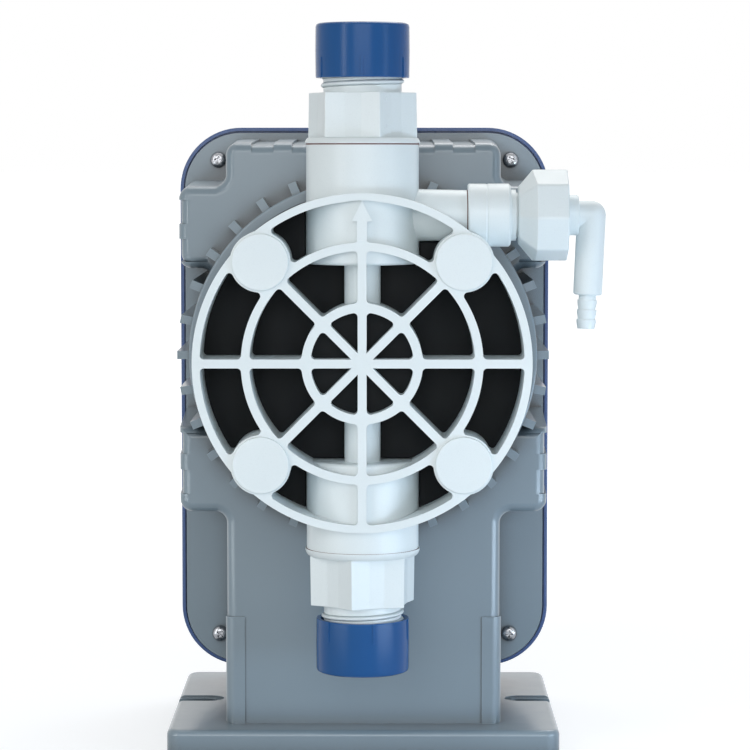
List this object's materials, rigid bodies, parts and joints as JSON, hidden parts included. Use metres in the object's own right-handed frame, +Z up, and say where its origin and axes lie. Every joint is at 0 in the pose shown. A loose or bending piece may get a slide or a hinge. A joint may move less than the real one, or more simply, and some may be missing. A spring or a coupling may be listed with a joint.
{
  "type": "diaphragm metering pump",
  "caption": "Solenoid diaphragm metering pump on a slotted foot: round spoked pump head with upright ball valves, capped threaded ports, side air vent and rear control cover.",
  "frame": {"origin": "on the foot's underside, midway between its sides and 1.5 mm behind the line between the two bolt slots", "axes": "+Z up through the valves, -Y out of the pump head, +X towards the air vent"},
  "size_m": [0.1788, 0.2055, 0.2996],
  "materials": {
    "casing_plastic": "satin moulded blue-grey polypropylene",
    "cover_blue": "fine satin blue moulding",
    "cap_blue": "smooth blue moulded cap",
    "head_plastic": "satin light grey rigid plastic",
    "plate_black": "dark fine-grained plate",
    "steel": "machined steel",
    "chrome_screw": "plated fasteners",
    "copper_winding": "enamelled copper winding with tape",
    "rubber_black": "matt elastomer",
    "seal_brown": "flat fluoroelastomer seal",
    "diaphragm_white": "smooth fluoropolymer faced elastomer",
    "ceramic": "polished ceramic ball",
    "bronze": "sintered bearing bronze",
    "board_green": "printed circuit board",
    "panel_grey": "printed control panel film",
    "display_dark": "display block",
    "window_clear": "clear display pane",
    "key_blue": "moulded push keys",
    "key_green": "moulded start key",
    "lamp": "tinted lamp domes",
    "gland_black": "black nylon fittings"
  },
  "bodies": {
    "pump_body": {"base_foot": "casing_plastic", "base_screws": "chrome_screw", "main_casing": "casing_plastic", "casing_gasket": "rubber_black", "rear_cover": "cover_blue", "cover_screws": "chrome_screw", "panel_fascia": "panel_grey", "display_window": "window_clear", "display_module": "display_dark", "status_lights": "lamp", "control_board": "board_green", "power_board": "board_green", "signal_sockets": "gland_black", "cable_gland": "gland_black", "gland_nut": "gland_black", "solenoid_yoke": "steel", "solenoid_end_plate": "steel", "solenoid_coil": "copper_winding", "yoke_screws": "chrome_screw", "front_bearing": "bronze", "rear_bearing": "bronze", "return_spring": "steel", "drive_flange": "casing_plastic", "drive_flange_screws": "chrome_screw", "diaphragm": "diaphragm_white", "pump_head": "head_plastic", "head_face_plate": "plate_black", "head_wheel": "head_plastic", "head_washers": "chrome_screw", "head_bolts": "chrome_screw", "discharge_valve_body": "head_plastic", "suction_valve_body": "head_plastic", "discharge_gasket": "seal_brown", "suction_gasket": "seal_brown", "discharge_seat": "head_plastic", "suction_seat": "head_plastic", "vent_gasket": "seal_brown", "vent_sleeve": "head_plastic"},
    "plunger": {"armature": "steel", "drive_shaft": "steel", "spring_seat": "steel", "diaphragm_insert": "steel", "diaphragm_washer": "steel"},
    "discharge_ball": {"discharge_ball": "ceramic"},
    "suction_ball": {"suction_ball": "ceramic"},
    "discharge_cap": {"discharge_cap": "cap_blue"},
    "suction_cap": {"suction_cap": "cap_blue"},
    "vent_knob": {"vent_nut": "head_plastic"},
    "vent_needle": {"vent_needle": "head_plastic"},
    "vent_elbow": {"vent_elbow": "head_plastic"},
    "start_key": {"start_key": "key_green"},
    "menu_key": {"menu_key": "key_blue"},
    "down_key": {"down_key": "key_blue"},
    "up_key": {"up_key": "key_blue"},
    "enter_key": {"enter_key": "key_blue"},
    "bolt_cap_upper_left": {"bolt_cap_upper_left": "head_plastic"},
    "bolt_cap_upper_right": {"bolt_cap_upper_right": "head_plastic"},
    "bolt_cap_lower_left": {"bolt_cap_lower_left": "head_plastic"},
    "bolt_cap_lower_right": {"bolt_cap_lower_right": "head_plastic"}
  },
  "joints": [
    {"name": "plunger_stroke", "type": "slide", "parent": "pump_body", "child": "plunger", "axis": [0, -1, 0], "range_m": [0, 0.003], "stiffness_N_per_m": 2000, "springref_m": -0.004, "deforming": ["return_spring", "diaphragm"]},
    {"name": "discharge_ball_lift", "type": "slide", "parent": "pump_body", "child": "discharge_ball", "axis": [0, 0, 1], "range_m": [0, 0.002]},
    {"name": "suction_ball_lift", "type": "slide", "parent": "pump_body", "child": "suction_ball", "axis": [0, 0, 1], "range_m": [0, 0.002]},
    {"name": "vent_knob_turn", "type": "hinge", "parent": "pump_body", "child": "vent_knob", "pos_m": [0.072, -0.099, 0.2234], "axis": [1, 0, 0], "range_deg": [0, 180]},
    {"name": "vent_needle_lift", "type": "slide", "parent": "pump_body", "child": "vent_needle", "axis": [1, 0, 0], "range_m": [0, 0.0011]},
    {"name": "vent_elbow_swivel", "type": "hinge", "parent": "pump_body", "child": "vent_elbow", "pos_m": [0.0915, -0.099, 0.2234], "axis": [1, 0, 0], "continuous": true},
    {"name": "discharge_cap_pull", "type": "slide", "parent": "pump_body", "child": "discharge_cap", "axis": [0, 0, 1], "range_m": [0, 0.03]},
    {"name": "suction_cap_pull", "type": "slide", "parent": "pump_body", "child": "suction_cap", "axis": [0, 0, -1], "range_m": [0, 0.026]},
    {"name": "bolt_cap_upper_left_pull", "type": "slide", "parent": "pump_body", "child": "bolt_cap_upper_left", "axis": [0, -1, 0], "range_m": [0, 0.008]},
    {"name": "bolt_cap_upper_right_pull", "type": "slide", "parent": "pump_body", "child": "bolt_cap_upper_right", "axis": [0, -1, 0], "range_m": [0, 0.008]},
    {"name": "bolt_cap_lower_left_pull", "type": "slide", "parent": "pump_body", "child": "bolt_cap_lower_left", "axis": [0, -1, 0], "range_m": [0, 0.008]},
    {"name": "bolt_cap_lower_right_pull", "type": "slide", "parent": "pump_body", "child": "bolt_cap_lower_right", "axis": [0, -1, 0], "range_m": [0, 0.008]},
    {"name": "start_key_press", "type": "slide", "parent": "pump_body", "child": "start_key", "axis": [0, -1, 0], "range_m": [0, 0.0008], "stiffness_N_per_m": 400, "springref_m": -0.0004},
    {"name": "menu_key_press", "type": "slide", "parent": "pump_body", "child": "menu_key", "axis": [0, -1, 0], "range_m": [0, 0.0008], "stiffness_N_per_m": 400, "springref_m": -0.0004},
    {"name": "down_key_press", "type": "slide", "parent": "pump_body", "child": "down_key", "axis": [0, -1, 0], "range_m": [0, 0.0008], "stiffness_N_per_m": 400, "springref_m": -0.0004},
    {"name": "up_key_press", "type": "slide", "parent": "pump_body", "child": "up_key", "axis": [0, -1, 0], "range_m": [0, 0.0008], "stiffness_N_per_m": 400, "springref_m": -0.0004},
    {"name": "enter_key_press", "type": "slide", "parent": "pump_body", "child": "enter_key", "axis": [0, -1, 0], "range_m": [0, 0.0008], "stiffness_N_per_m": 400, "springref_m": -0.0004}
  ],
  "couplings": [
    {"joint": "vent_needle_lift", "follows": "vent_knob_turn", "m_per_rad": 0.00031831}
  ]
}
